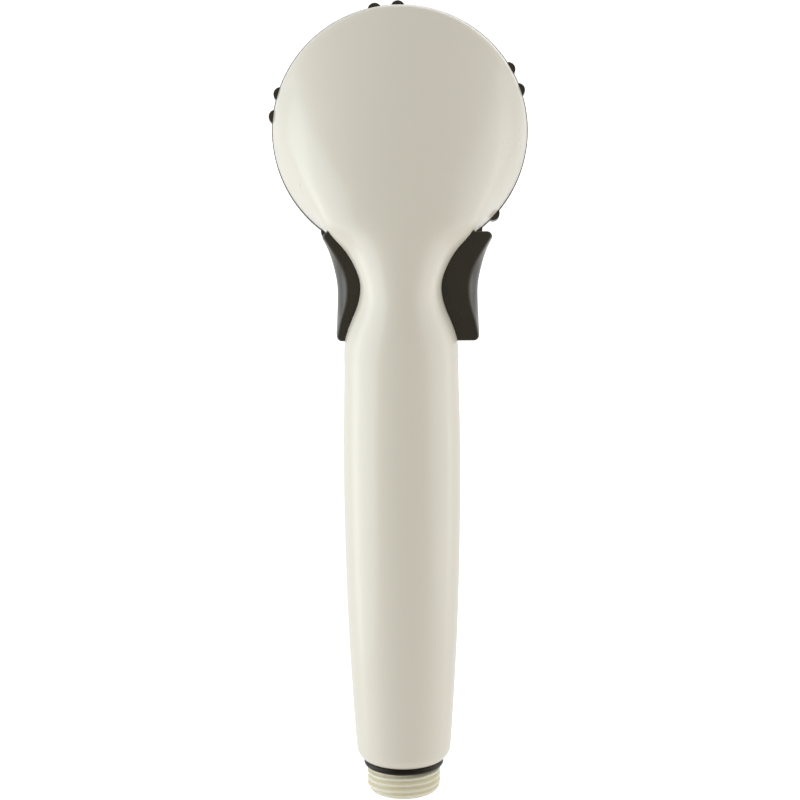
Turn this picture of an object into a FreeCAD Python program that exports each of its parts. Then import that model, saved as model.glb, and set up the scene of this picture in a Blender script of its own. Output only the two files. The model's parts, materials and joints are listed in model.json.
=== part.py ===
import FreeCAD, Part
import math
import os

from FreeCAD import Placement, Rotation, Vector

# Handheld shower head with a push-through stop button in its neck and a bayonet face ring.
# Millimetres. The origin is the centre of the hose washer's seat, the end face of the G1/2 spigot.
# +Z runs up the handle to the head, the spray leaves towards +Y, and the smooth back faces -Y.

# ---- driving dimensions ----
THREAD_RADIUS = 10.4775
THREAD_MINOR_RADIUS = 9.32
THREAD_PITCH = 1.814
THREAD_END_Z = 7.8
THREAD_TOP_GROOVE_Z = 6.75
THREAD_GROOVES = 4
INLET_BORE_RADIUS = 7.6
MOUTH_Z = 10.1
MOUTH_BORE_RADIUS = 11.0
TUBE_RADIUS = 6.5
TUBE_BORE_RADIUS = 4.8
TUBE_TOP_Z = 122.0
TOP_RING_Z = TUBE_TOP_Z - 4.0
INLET_GROOVES = (14.0, 19.0)
RUNNING_GAP = 0.05

HANDLE_WALL = 2.6
# height and radius of the round handle
HANDLE_PROFILE = [(13.0, 13.4), (21, 14.0), (33, 14.7), (45, 15.35), (57, 15.82), (69, 16.15),
                  (82, 16.4), (95, 16.5), (106, 16.45), (117, 16.2), (126, 16.05)]
# height, half width, back and front of the neck
NECK_PROFILE = [(132.5, 15.75, -15.95, 16.0), (135.5, 14.95, -15.6, 15.8), (138.7, 13.75, -15.0, 15.4),
                (142.0, 12.4, -14.1, 14.8), (145.5, 11.5, -13.3, 14.1), (149.8, 11.5, -12.5, 13.5)]
NECK_WIDEST_Y = 0.75

FACE_TILT = 20.0
RIM_CENTRE = Vector(0, 33.0, 186.9)
RIM_RADIUS = 36.3
FAN_RADIUS = 39.5
FAN_END = 90.0 + FACE_TILT
# fan angle, half width, and distance of the back, of the widest line and of the front from the fan's pivot
FAN_PROFILE = [(12, 12.9, 31.7, 18.8, 5.9), (24, 15.4, 32.3, 19.7, 5.6), (36, 19.8, 33.3, 22.8, 5.3),
               (49, 23.0, 35.9, 24.2, 4.9), (62, 25.9, 40.1, 26.0, 4.5), (75, 29.0, 46.2, 28.2, 4.1),
               (86, 31.6, 53.7, 31.2, 3.7), (95, 33.8, 62.4, 34.6, 3.4), (100.5, 34.9, 69.4, 37.2, 3.25)]
# fan angle, and how far the rim band's back and side draw in towards the dome
RIM_BAND = ((104.5, 1.7, 0.75), (107.0, 0.85, 0.4), (FAN_END, 0.0, 0.0))

CHAMBER_RADIUS = 33.7
CHAMBER_DEPTH = 6.9
# radius and depth of the domed back of the head chamber
DOME_PROFILE = [(31.4, 8.2), (25.0, 12.0), (15.0, 17.0), (6.0, 20.2), (0.0, 20.8)]

STROKE = 3.8
HALF_STROKE = STROKE / 2
BUTTON_BACK_Y = 1.0
BUTTON_DEPTH = 13.0
BUTTON_BOTTOM_Z = 132.3
BUTTON_TOP_Z = 163.7
BUTTON_INNER_X = 8.4
BUTTON_CORNER = 1.4
BUTTON_WALL = 1.8
POCKET_GAP = 0.3
POCKET_INNER_X = 6.2
# height and half width of a button's thumb face, along its back edge and along its middle
BUTTON_EDGE = [(134.0, 19.8), (138.7, 18.8), (142.5, 17.65), (147.2, 17.05), (152.0, 17.8),
               (156.5, 19.95), (160.0, 22.1), (163.9, 24.4)]
BUTTON_MIDDLE = [(134.0, 20.1), (138.7, 19.85), (142.5, 19.7), (147.2, 19.75), (152.0, 20.6),
                 (156.5, 21.9), (160.0, 23.4), (163.9, 25.6)]

VALVE_CENTRE = Vector(0, 6.8, 148.1)
BARREL_RADIUS = 4.0
BARREL_BORE_RADIUS = 3.1
BARREL_HALF_LENGTH = 11.0
SPOOL_RADIUS = 3.05
SPOOL_WAIST_RADIUS = 1.9
SPOOL_END_RADIUS = 2.5
SPOOL_HALF_LENGTH = 17.2
SPOOL_RING_X = (-8.4, 4.1, 8.4)
SPOOL_RING_SECTION = 0.6
DUCT_TILT = 9.0
DUCT_RADIUS = 3.6
DUCT_BORE_RADIUS = 2.7
DUCT_START = 6.2
DUCT_END = 22.0

GRIP_COUNT = 5
GRIP_HALF_SPREAD = 5.35
GRIP_FIRST_ANGLE = 24.0
LUG_COUNT = 5
# the chamber pan's inlet and its screws, in the head's own frame
PORT_CENTRE = Vector(0, 21.5, 0)
PAN_SCREW_ANGLES = (-90, 25, 155)
PAN_SCREW_CIRCLE = 20.0
NOZZLE_ROWS = ((6.0, 6), (11.0, 12), (16.0, 18), (21.5, 24))

X_AXIS = Vector(1, 0, 0)
Z_AXIS = Vector(0, 0, 1)
ORIGIN = Vector(0, 0, 0)
# In the head's own frame, +Z is the spray direction and -Y points to the top of the head.
HEAD = Placement(RIM_CENTRE, Rotation(X_AXIS, -FAN_END))
SECTION_POINTS = 32


# ---- general helpers ----
def cylinder(radius, start, end, base=ORIGIN, axis=Z_AXIS):
    """A cylinder between two distances along an axis from a base point."""
    return Part.makeCylinder(radius, end - start, base + axis * start, axis)


def ring(outer, inner, start, end, base=ORIGIN, axis=Z_AXIS):
    """A tube between two distances along an axis."""
    wall = cylinder(outer, start, end, base, axis)
    return wall.cut(cylinder(inner, start - 1, end + 1, base, axis))


def box(low, high):
    """A box from its lowest to its highest corner."""
    size = Vector(*high) - Vector(*low)
    return Part.makeBox(size.x, size.y, size.z, Vector(*low))


def revolve(points):
    """A solid of revolution about Z from (radius, height) corners."""
    corners = [Vector(radius, 0, height) for radius, height in points]
    face = Part.Face(Part.makePolygon(corners + corners[:1]))
    return face.revolve(ORIGIN, Z_AXIS, 360)


def o_ring(radius, section, base, axis=Z_AXIS):
    """A round rubber ring about an axis."""
    return Part.makeTorus(radius, section, base, axis)


def in_head(shape):
    """Moves a shape from the head's own frame into the part's frame."""
    moved = shape.copy()
    moved.Placement = HEAD.multiply(moved.Placement)
    return moved


def polar(radius, degrees):
    """A point at an angle about Z, at height 0."""
    angle = math.radians(degrees)
    return Vector(radius * math.cos(angle), radius * math.sin(angle), 0)


def sector(outer, inner, start, end, middle, width):
    """A piece of a tube about Z, between two heights, centred on an angle."""
    face = Part.makePolygon([Vector(inner, 0, start), Vector(outer, 0, start), Vector(outer, 0, end),
                             Vector(inner, 0, end), Vector(inner, 0, start)])
    piece = Part.Face(face).revolve(ORIGIN, Z_AXIS, width)
    piece.rotate(ORIGIN, Z_AXIS, middle - width / 2)
    return piece


def curve_through(pairs):
    """A smooth curve in the XZ plane through (height, half width) pairs."""
    curve = Part.BSplineCurve()
    curve.interpolate([Vector(value, 0, height) for height, value in pairs])
    return curve


def width_at(curve, height):
    """The half width of a rising curve at a height, by halving its parameter range."""
    low = curve.FirstParameter
    high = curve.LastParameter
    for _ in range(40):
        middle = (low + high) / 2
        if curve.value(middle).z < height:
            low = middle
        else:
            high = middle
    return curve.value(low).x


# ---- outer form: handle, neck and the fan that opens into the head ----
def section_angles():
    """The angles round a section, from its widest point towards its back."""
    return [2 * math.pi * step / SECTION_POINTS for step in range(SECTION_POINTS)]


def level_section(height, half_width, back, front, widest):
    """A horizontal section made of two half ellipses."""
    points = []
    for angle in section_angles():
        reach = widest - back if math.sin(angle) > 0 else front - widest
        points.append(Vector(half_width * math.cos(angle), widest - reach * math.sin(angle), height))
    return points


def fan_section(fan_angle, half_width, outer, widest, inner):
    """A section in a plane turned about the fan's pivot, again of two half ellipses."""
    tilt = math.radians(FACE_TILT)
    turn = math.radians(fan_angle)
    pivot = RIM_CENTRE - Vector(0, math.sin(tilt), math.cos(tilt)) * FAN_RADIUS
    outward = Vector(0, -math.cos(turn), math.sin(turn))
    points = []
    for angle in section_angles():
        reach = outer - widest if math.sin(angle) > 0 else widest - inner
        distance = widest + reach * math.sin(angle)
        points.append(pivot + outward * distance + X_AXIS * (half_width * math.cos(angle)))
    return points


def rim_section(fan_angle, back_draw, side_draw):
    """The head's rim band, cut by a plane through the fan's pivot. It ends in the round rim."""
    stretch = 1 / math.cos(math.radians(FAN_END - fan_angle))
    return fan_section(fan_angle, RIM_RADIUS - side_draw, (FAN_RADIUS + RIM_RADIUS) * stretch - back_draw,
                       FAN_RADIUS * stretch, (FAN_RADIUS - RIM_RADIUS) * stretch)


def smooth_form(sections):
    """A solid whose one side face runs smoothly through the sections, flat at both ends."""
    middles = [(points[0] + points[SECTION_POINTS // 2]) * 0.5 for points in sections]
    stations = [0.0]
    for previous, current in zip(middles, middles[1:]):
        stations.append(stations[-1] + previous.distanceToPoint(current))
    # A closed cubic through evenly turned poles runs inside them by this share.
    swell = 3 / (2 + math.cos(2 * math.pi / SECTION_POINTS))
    columns = []
    for index in range(SECTION_POINTS):
        line = Part.BSplineCurve()
        line.interpolate(Points=[middle + (points[index] - middle) * swell
                                 for middle, points in zip(middles, sections)], Parameters=stations)
        columns.append(line)
    poles = [list(row) for row in zip(*[line.getPoles() for line in columns])]
    surface = Part.BSplineSurface()
    surface.buildFromPolesMultsKnots(poles, columns[0].getMultiplicities(), [1] * (SECTION_POINTS + 1),
                                     columns[0].getKnots(), list(range(SECTION_POINTS + 1)),
                                     False, True, 3, 3)
    side = surface.toShape()
    ends = [Part.Face(Part.Wire(edge)) for edge in side.Edges if edge.isClosed()]
    skin = Part.Shell([side] + ends)
    skin.sewShape()
    skin.fix(1e-4, 1e-4, 1e-4)
    solid = Part.Solid(skin.Shells[0])
    if solid.Volume < 0:
        solid.reverse()
    return solid


def outer_form():
    """The one smooth body from the handle's mouth to the head's rim."""
    sections = [level_section(height, radius, -radius, radius, 0) for height, radius in HANDLE_PROFILE]
    for height, half_width, back, front in NECK_PROFILE:
        sections.append(level_section(height, half_width, back, front, NECK_WIDEST_Y))
    sections += [fan_section(*row) for row in FAN_PROFILE]
    sections += [rim_section(*row) for row in RIM_BAND]
    return smooth_form(sections)


def mouth_collar():
    """The rounded chamfer round the handle's mouth."""
    top, radius = HANDLE_PROFILE[0]
    lip = Vector(11.4, 0, MOUTH_Z)
    shoulder = Vector(radius - 0.01, 0, top)
    inner = MOUTH_BORE_RADIUS - 1
    lower = Part.makePolygon([Vector(inner, 0, MOUTH_Z), lip])
    chamfer = Part.Arc(lip, Vector(12.62, 0, 11.35), shoulder).toShape()
    upper = Part.makePolygon([shoulder, Vector(12.6, 0, top), Vector(12.6, 0, top + 1.5),
                              Vector(inner, 0, top + 1.5), Vector(inner, 0, MOUTH_Z)])
    return Part.Face(Part.Wire(lower.Edges + [chamfer] + upper.Edges)).revolve(ORIGIN, Z_AXIS, 360)


# ---- hollows of the shell ----
def handle_hollow():
    """The long bore, with a narrower seat for the inlet at the mouth."""
    wall = [(radius - HANDLE_WALL, height) for height, radius in HANDLE_PROFILE if height > 24]
    first = wall[0][0] - 0.3
    return revolve([(0, MOUTH_Z - 1), (MOUTH_BORE_RADIUS, MOUTH_Z - 1), (MOUTH_BORE_RADIUS, 24.2),
                    (first, 25.4)] + wall + [(wall[-1][0], 129.5), (0, 129.5)])


def neck_hollow():
    """The space behind the valve, from the handle into the back of the head."""
    rows = ((128.5, 12.6, -12.4, 12.4), (138.0, 10.6, -11.4, 11.6), (147.0, 8.6, -9.9, 10.5),
            (158.0, 10.0, -8.4, 9.5), (168.0, 13.0, -5.0, 9.0), (175.0, 13.0, -2.0, 11.5),
            (181.0, 11.0, 2.0, 14.0))
    return smooth_form([level_section(height, half_width, back, front, (back + front) / 2)
                        for height, half_width, back, front in rows])


def duct_axis():
    """The direction of the outlet duct, leaning from the valve towards the face."""
    lean = math.radians(DUCT_TILT)
    return Vector(0, math.sin(lean), math.cos(lean))


def duct_passage():
    """Room for the duct and for the valve's outlet socket."""
    socket = cylinder(4.9, 0, 10.0, VALVE_CENTRE, duct_axis())
    return socket.fuse(cylinder(4.0, 9.0, DUCT_END, VALVE_CENTRE, duct_axis()))


def valve_room():
    """Square room for the valve, closed at the front by the neck's wall and its cover."""
    return box((-7.0, BUTTON_BACK_Y - POCKET_GAP, 131.0), (7.0, 11.1, 154.5))


def boss_relief():
    """Room in the dome for the chamber pan's inlet boss."""
    return in_head(cylinder(5.8, -19.5, -8, PORT_CENTRE))


def head_chamber():
    """The round chamber behind the spray face, with its domed back."""
    dome = [(radius, -depth) for radius, depth in DOME_PROFILE]
    profile = [(0, 1.0), (CHAMBER_RADIUS, 1.0), (CHAMBER_RADIUS, -CHAMBER_DEPTH), (32.4, -CHAMBER_DEPTH)]
    return in_head(revolve(profile + dome))


def button_pocket(side):
    """The recess beside the neck that a stop button's cap moves in."""
    low = box((POCKET_INNER_X, BUTTON_BACK_Y - POCKET_GAP, BUTTON_BOTTOM_Z - POCKET_GAP), (45, 40, 190))
    top_plane = RIM_CENTRE.z - (RIM_CENTRE.y - BUTTON_BACK_Y) * math.tan(math.radians(FACE_TILT))
    drop = (top_plane - BUTTON_TOP_Z) * math.cos(math.radians(FACE_TILT))
    above = in_head(box((-60, -60, -60), (60, drop - POCKET_GAP, 60)))
    rim = in_head(cylinder(RIM_RADIUS - 0.7, -60, 20))
    pocket = low.cut(above).cut(rim)
    return pocket if side > 0 else pocket.mirror(ORIGIN, X_AXIS)


def cover_window(inset):
    """The opening in the front of the neck, made smaller all round by an inset."""
    return box((-4.4 + inset, 9.0, 136.5 + inset), (4.4 - inset, 25, 148.5 - inset))


def screw_posts():
    """Three posts in the dome that the chamber pan is screwed to."""
    return [in_head(cylinder(3.0, -30.0, -10.6, polar(PAN_SCREW_CIRCLE, angle)))
            for angle in PAN_SCREW_ANGLES]


def screw_pilots():
    """The posts' blind holes."""
    return [in_head(cylinder(1.15, -15.8, -10.0, polar(PAN_SCREW_CIRCLE, angle)))
            for angle in PAN_SCREW_ANGLES]


def shell_lugs():
    """The bayonet's fixed lugs inside the head's mouth."""
    return [in_head(sector(CHAMBER_RADIUS + 1.0, 32.5, -4.5, -2.7, 36 + 72 * index, 30))
            for index in range(LUG_COUNT)]


def body_shell(outer):
    """The one-piece handle, neck and head."""
    chamber = head_chamber().cut(Part.makeCompound(screw_posts() + shell_lugs()))
    shell = outer.fuse(mouth_collar())
    for hollow in [handle_hollow(), neck_hollow(), valve_room(), duct_passage(), chamber, boss_relief(),
                   button_pocket(1), button_pocket(-1), cover_window(0)] + screw_pilots():
        shell = shell.cut(hollow)
    return shell


def neck_front_cover(outer):
    """The snap-in cover over the valve, flush with the front of the neck."""
    plate = outer.common(cover_window(0.15))
    return plate.cut(valve_room()).cut(duct_passage())


# ---- water inlet ----
def thread_groove(height):
    """One V groove of the thread, at the thread's pitch from the next."""
    mouth = 0.41 * THREAD_PITCH
    root = 0.16
    return revolve([(THREAD_MINOR_RADIUS, height - root), (THREAD_RADIUS, height - mouth),
                    (THREAD_RADIUS + 1, height - mouth), (THREAD_RADIUS + 1, height + mouth),
                    (THREAD_RADIUS, height + mouth), (THREAD_MINOR_RADIUS, height + root)])


def inlet_tube():
    """The threaded spigot and the water tube in one moulding."""
    outside = [(8.4, 0), (9.3, 0.45), (THREAD_RADIUS, 2.05), (THREAD_RADIUS, THREAD_END_Z),
               (9.15, THREAD_END_Z), (9.15, MOUTH_Z), (MOUTH_BORE_RADIUS - RUNNING_GAP, MOUTH_Z),
               (MOUTH_BORE_RADIUS - RUNNING_GAP, 24), (TUBE_RADIUS, 27), (TUBE_RADIUS, TUBE_TOP_Z - 1),
               (TUBE_RADIUS - 0.7, TUBE_TOP_Z)]
    inside = [(TUBE_BORE_RADIUS, TUBE_TOP_Z), (TUBE_BORE_RADIUS, 13.5), (INLET_BORE_RADIUS, 11.0),
              (INLET_BORE_RADIUS, 0)]
    tube = revolve(outside + inside)
    for height in INLET_GROOVES:
        tube = tube.cut(ring(12, 9.2, height - 1.1, height + 1.1))
    tube = tube.cut(ring(8, 5.35, TOP_RING_Z - 0.8, TOP_RING_Z + 0.8))
    for index in range(THREAD_GROOVES):
        tube = tube.cut(thread_groove(THREAD_TOP_GROOVE_Z - index * THREAD_PITCH))
    return tube


def inlet_o_ring():
    """The ring between the spigot's thread and the handle's mouth."""
    return o_ring(10.3, 1.1, Vector(0, 0, 8.95))


def inlet_plug_o_rings():
    """Two seals between the inlet and the handle's mouth."""
    return Part.makeCompound([o_ring(10.1, 0.9, Vector(0, 0, height)) for height in INLET_GROOVES])


def strainer_frame():
    """The inlet strainer's moulded ring and cross bars."""
    hoop = ring(INLET_BORE_RADIUS, 6.0, 5.8, 7.4)
    bars = box((-6.5, -0.5, 5.8), (6.5, 0.5, 7.4)).fuse(box((-0.5, -6.5, 5.8), (0.5, 6.5, 7.4)))
    return hoop.fuse(bars).common(cylinder(INLET_BORE_RADIUS, 5, 8))


def hole_centres(rows):
    """Centres on circles of a radius and a count."""
    return [polar(radius, 360 * index / count) for radius, count in rows for index in range(count)]


def strainer_mesh():
    """The fine perforated disc on the strainer's frame."""
    holes = [cylinder(0.42, 7, 8, centre) for centre in hole_centres(((1.7, 6), (3.4, 12), (5.1, 18)))]
    return cylinder(7.3, 7.4, 7.65).cut(Part.makeCompound(holes))


def flow_restrictor():
    """The plate that limits the flow."""
    holes = [cylinder(0.9, 7, 12, centre) for centre in hole_centres(((3.2, 6),))]
    return cylinder(INLET_BORE_RADIUS, 8.4, 10.6).cut(Part.makeCompound(holes))


def tube_top_o_ring():
    """The seal between the water tube and the valve."""
    return o_ring(5.95, 0.6, Vector(0, 0, TOP_RING_Z))


# ---- stop valve ----
def valve_housing():
    """The socket on the water tube, the cross barrel and the outlet socket."""
    seat = TUBE_TOP_Z + 2
    cup = revolve([(0, seat - 12), (8.4, seat - 12), (8.4, seat + 5), (5.9, seat + 8), (5.9, 141.5),
                   (0, 141.5)])
    block = box((-5.6, 1.5, 134.5), (5.6, 10.2, 152.5))
    barrel = cylinder(BARREL_RADIUS, -BARREL_HALF_LENGTH, BARREL_HALF_LENGTH, VALVE_CENTRE, X_AXIS)
    outlet = cylinder(4.6, 1.0, 9.7, VALVE_CENTRE, duct_axis())
    housing = cup.fuse([block, barrel, outlet])
    waterway = [cylinder(TUBE_RADIUS + RUNNING_GAP, seat - 13, seat), cylinder(4.2, seat - 1, 140),
                cylinder(2.1, 137, 147.5, Vector(-3.0, 4.6, 0)),
                cylinder(BARREL_BORE_RADIUS, -12, 12, VALVE_CENTRE, X_AXIS),
                cylinder(1.2, 0, 7.0, VALVE_CENTRE + X_AXIS * 4.0, duct_axis()),
                cylinder(DUCT_RADIUS + RUNNING_GAP, DUCT_START - 0.6, 10.5, VALVE_CENTRE, duct_axis())]
    for hollow in waterway:
        housing = housing.cut(hollow)
    return housing


def valve_spool():
    """The sliding shaft, waisted between its seals, with its ends in the two caps."""
    centre = VALVE_CENTRE + X_AXIS * HALF_STROKE
    land_end = 9.2
    spool = cylinder(SPOOL_RADIUS, -land_end, land_end, centre, X_AXIS)
    spool = spool.fuse(cylinder(SPOOL_END_RADIUS, -SPOOL_HALF_LENGTH, SPOOL_HALF_LENGTH, centre, X_AXIS))
    spool = spool.cut(ring(4, SPOOL_WAIST_RADIUS, -7.4, 3.1, centre, X_AXIS))
    spool = spool.cut(ring(4, SPOOL_WAIST_RADIUS, 5.1, 7.4, centre, X_AXIS))
    for offset in SPOOL_RING_X:
        spool = spool.cut(ring(4, 1.9, offset - 0.62, offset + 0.62, centre, X_AXIS))
    return spool


def spool_o_rings():
    """The spool's three seals."""
    rings = [o_ring(2.5, SPOOL_RING_SECTION - 0.05, VALVE_CENTRE + X_AXIS * (HALF_STROKE + offset), X_AXIS)
             for offset in SPOOL_RING_X]
    return Part.makeCompound(rings)


def cap_outline(y, edge_curve, shrink, inner_x):
    """A cap's outline in a plane of one y, with rounded outer corners."""
    bottom = BUTTON_BOTTOM_Z + shrink
    top = BUTTON_TOP_Z - shrink - (y - BUTTON_BACK_Y) * math.tan(math.radians(FACE_TILT))
    corner = BUTTON_CORNER - shrink * 0.5
    heights = [bottom + corner + (top - bottom - 2 * corner) * step / 8 for step in range(9)]
    outer = [Vector(width_at(edge_curve, height) - shrink, y, height) for height in heights]
    lower_x = outer[0].x - corner
    upper_x = outer[-1].x - corner
    bend = corner * (1 - math.sqrt(0.5))
    thumb_face = Part.BSplineCurve()
    thumb_face.interpolate(outer)
    lower_arc = Part.Arc(Vector(lower_x, y, bottom), Vector(outer[0].x - bend, y, bottom + bend), outer[0])
    upper_arc = Part.Arc(outer[-1], Vector(outer[-1].x - bend, y, top - bend), Vector(upper_x, y, top))
    inner_low = Vector(inner_x, y, bottom)
    inner_high = Vector(inner_x, y, top)
    edges = [Part.LineSegment(inner_low, Vector(lower_x, y, bottom)), lower_arc, thumb_face, upper_arc,
             Part.LineSegment(Vector(upper_x, y, top), inner_high), Part.LineSegment(inner_high, inner_low)]
    return Part.Wire([edge.toShape() for edge in edges])


def cap_solid(shrink, inner_x):
    """A cap's outer form, or its hollow when shrunk."""
    edge = curve_through([(110, BUTTON_EDGE[0][1])] + BUTTON_EDGE + [(175, 25.0)])
    middle = curve_through([(110, BUTTON_MIDDLE[0][1])] + BUTTON_MIDDLE + [(175, 27.0)])
    half = BUTTON_DEPTH / 2
    stations = ((-half + shrink, edge), (0, middle), (half - shrink, edge))
    wires = [cap_outline(BUTTON_BACK_Y + half + offset, curve, shrink, inner_x)
             for offset, curve in stations]
    return Part.makeLoft(wires, True, False)


def stop_button(side):
    """One hollow cap of the push-through stop button, with the socket for the spool's end."""
    outside = cap_solid(0, BUTTON_INNER_X)
    cap = outside.cut(cap_solid(BUTTON_WALL, BUTTON_INNER_X - 2))
    socket = cylinder(3.9, 13.3, 24, VALVE_CENTRE, X_AXIS).common(outside)
    cap = cap.fuse(socket)
    cap = cap.cut(cylinder(SPOOL_END_RADIUS, 12, SPOOL_HALF_LENGTH, VALVE_CENTRE, X_AXIS))
    cap = cap.cut(in_head(cylinder(RIM_RADIUS + 0.7, -60, 20)))
    if side < 0:
        cap = cap.mirror(ORIGIN, X_AXIS)
    cap.translate(X_AXIS * HALF_STROKE)
    return cap


# ---- outlet and head ----
def outlet_duct():
    """The short pipe from the valve to the chamber pan."""
    return ring(DUCT_RADIUS, DUCT_BORE_RADIUS, DUCT_START, DUCT_END, VALVE_CENTRE, duct_axis())


def chamber_pan():
    """The back of the water chamber, with the inlet boss that takes the duct."""
    pan = revolve([(0, -8.6), (22.5, -8.6), (24.5, -6.9), (29.8, -6.9), (29.8, -8.4), (25.6, -8.9),
                   (23.4, -10.6), (0, -10.6)])
    boss = cylinder(5.4, -19.0, -9.0, PORT_CENTRE)
    pan = in_head(pan.fuse(boss))
    pan = pan.cut(in_head(cylinder(3.0, -16.5, -8, PORT_CENTRE)))
    pan = pan.cut(cylinder(DUCT_RADIUS + RUNNING_GAP, 10, DUCT_END, VALVE_CENTRE, duct_axis()))
    for angle in PAN_SCREW_ANGLES:
        pan = pan.cut(in_head(cylinder(1.6, -12, -8, polar(PAN_SCREW_CIRCLE, angle))))
    return pan


def pan_screws():
    """Three screws that hold the pan to the shell's posts."""
    screws = []
    for angle in PAN_SCREW_ANGLES:
        base = polar(PAN_SCREW_CIRCLE, angle)
        head = cylinder(2.6, -8.6, -7.0, base)
        slot = box((-0.35, -2, -7.7), (0.35, 2, -6)).fuse(box((-2, -0.35, -7.7), (2, 0.35, -6)))
        slot.translate(base)
        screws.append(in_head(head.cut(slot).fuse(cylinder(1.15, -15.5, -8.6, base))))
    return Part.makeCompound(screws)


def pan_gasket():
    """The flat ring on the pan's edge."""
    return in_head(ring(29.4, 26.0, -6.9, -5.9))


def grip_pads():
    """Five pairs of low round pads on the rim of the face ring."""
    pads = []
    for index in range(GRIP_COUNT):
        for side in (-1, 1):
            angle = -(GRIP_FIRST_ANGLE + 72 * index + side * GRIP_HALF_SPREAD)
            pads.append(cylinder(2.0, 0.3, 3.4, polar(RIM_RADIUS - 0.6, angle)))
    return pads


def face_ring():
    """The grip ring that holds the spray plate by a bayonet."""
    profile = [(27.0, 0.9), (27.0, 3.0), (27.7, 3.6), (35.5, 3.6), (36.5, 2.6), (36.5, 0.3), (32.2, 0.3),
               (32.2, -0.35), (31.8, -0.35), (31.8, -2.25), (32.2, -2.25), (32.2, -6.7), (30.2, -6.7),
               (30.2, 0.9)]
    hoop = revolve(profile)
    lugs = [sector(33.4, 32.0, -6.5, -4.8, 36 + 72 * index, 26) for index in range(LUG_COUNT)]
    return in_head(hoop.fuse(grip_pads() + lugs))


def ring_o_ring():
    """The seal between the face ring and the head's mouth."""
    return in_head(o_ring(32.7, 0.9, Vector(0, 0, -1.3)))


def spray_plate():
    """The round plate that the nozzles come through, with its raised centre."""
    plate = revolve([(0, -0.9), (30.0, -0.9), (30.0, 0.9), (26.9, 0.9), (26.7, 2.6), (9, 3.1), (0, 3.2)])
    holes = [cylinder(1.15, -2, 5, centre) for centre in hole_centres(NOZZLE_ROWS)]
    return in_head(plate.cut(Part.makeCompound(holes + [cylinder(2.1, -2, 5)])))


def nozzle_mat():
    """The soft mat whose nozzles stand through the plate."""
    mat = cylinder(29.6, -2.3, -0.9)
    nozzles = [Part.makeCone(1.1, 0.8, 5.0, centre + Vector(0, 0, -0.9))
               for centre in hole_centres(NOZZLE_ROWS)]
    jets = [cylinder(0.45, -3, 5, centre) for centre in hole_centres(NOZZLE_ROWS)]
    return in_head(mat.fuse(nozzles).cut(Part.makeCompound(jets + [cylinder(2.1, -3, 0)])))


def distributor_plate():
    """The ribbed plate behind the mat that spreads the water and takes the centre screw."""
    plate = ring(26.5, 1.4, -5.4, -4.2)
    spacers = [ring(radius, radius - 1.0, -4.2, -2.3) for radius in (4.0, 13.9, 26.5)]
    holes = [cylinder(1.5, -6, -4, centre) for centre in hole_centres(((9.0, 6), (19.0, 10)))]
    return in_head(plate.fuse(spacers + [ring(4.0, 1.4, -6.6, -4.2)]).cut(Part.makeCompound(holes)))


def face_screw():
    """The countersunk screw in the middle of the spray plate."""
    head = revolve([(0, 3.2), (2.05, 3.2), (3.4, 3.2), (3.4, 4.3), (3.0, 4.6), (0, 4.6)])
    head = head.fuse(cylinder(2.05, 2.0, 3.2)).fuse(cylinder(1.4, -6.6, 2.2))
    cross = box((-0.4, -2, 3.8), (0.4, 2, 5)).fuse(box((-2, -0.4, 3.8), (2, 0.4, 5)))
    return in_head(head.cut(cross))


def main():
    """Builds every piece and writes one STEP file for each."""
    outer = outer_form()
    pieces = {
        "body_shell": body_shell(outer),
        "neck_front_cover": neck_front_cover(outer),
        "inlet_tube": inlet_tube(),
        "inlet_o_ring": inlet_o_ring(),
        "inlet_plug_o_rings": inlet_plug_o_rings(),
        "strainer_frame": strainer_frame(),
        "strainer_mesh": strainer_mesh(),
        "flow_restrictor": flow_restrictor(),
        "tube_top_o_ring": tube_top_o_ring(),
        "valve_housing": valve_housing(),
        "valve_spool": valve_spool(),
        "spool_o_rings": spool_o_rings(),
        "stop_button_right": stop_button(1),
        "stop_button_left": stop_button(-1),
        "outlet_duct": outlet_duct(),
        "chamber_pan": chamber_pan(),
        "pan_screws": pan_screws(),
        "pan_gasket": pan_gasket(),
        "face_ring": face_ring(),
        "ring_o_ring": ring_o_ring(),
        "spray_plate": spray_plate(),
        "nozzle_mat": nozzle_mat(),
        "distributor_plate": distributor_plate(),
        "face_screw": face_screw(),
    }
    os.makedirs("parts", exist_ok=True)
    for name, shape in pieces.items():
        shape.exportStep("parts/" + name + ".step")
        print(name, "solids", len(shape.Solids), "valid", shape.isValid(), "volume", round(shape.Volume, 1))


main()
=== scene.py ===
import json
import math

import bmesh
import bpy
import numpy as np
from mathutils import Matrix, Vector


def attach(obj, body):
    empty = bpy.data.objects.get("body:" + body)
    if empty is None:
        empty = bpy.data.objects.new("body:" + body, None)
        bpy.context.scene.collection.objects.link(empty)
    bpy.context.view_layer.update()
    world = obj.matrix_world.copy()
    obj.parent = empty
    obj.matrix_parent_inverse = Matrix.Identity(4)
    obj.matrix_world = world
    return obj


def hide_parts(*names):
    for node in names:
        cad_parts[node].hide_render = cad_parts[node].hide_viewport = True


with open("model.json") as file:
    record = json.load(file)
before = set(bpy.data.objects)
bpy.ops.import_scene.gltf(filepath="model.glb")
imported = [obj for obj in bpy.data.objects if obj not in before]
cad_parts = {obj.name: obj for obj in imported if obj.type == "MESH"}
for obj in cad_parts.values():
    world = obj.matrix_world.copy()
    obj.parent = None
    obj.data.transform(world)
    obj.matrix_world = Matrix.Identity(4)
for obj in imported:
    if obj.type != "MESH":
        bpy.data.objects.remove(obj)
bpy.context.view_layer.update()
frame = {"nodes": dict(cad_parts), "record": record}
nodes = frame["nodes"]
MM = 0.001

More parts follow.
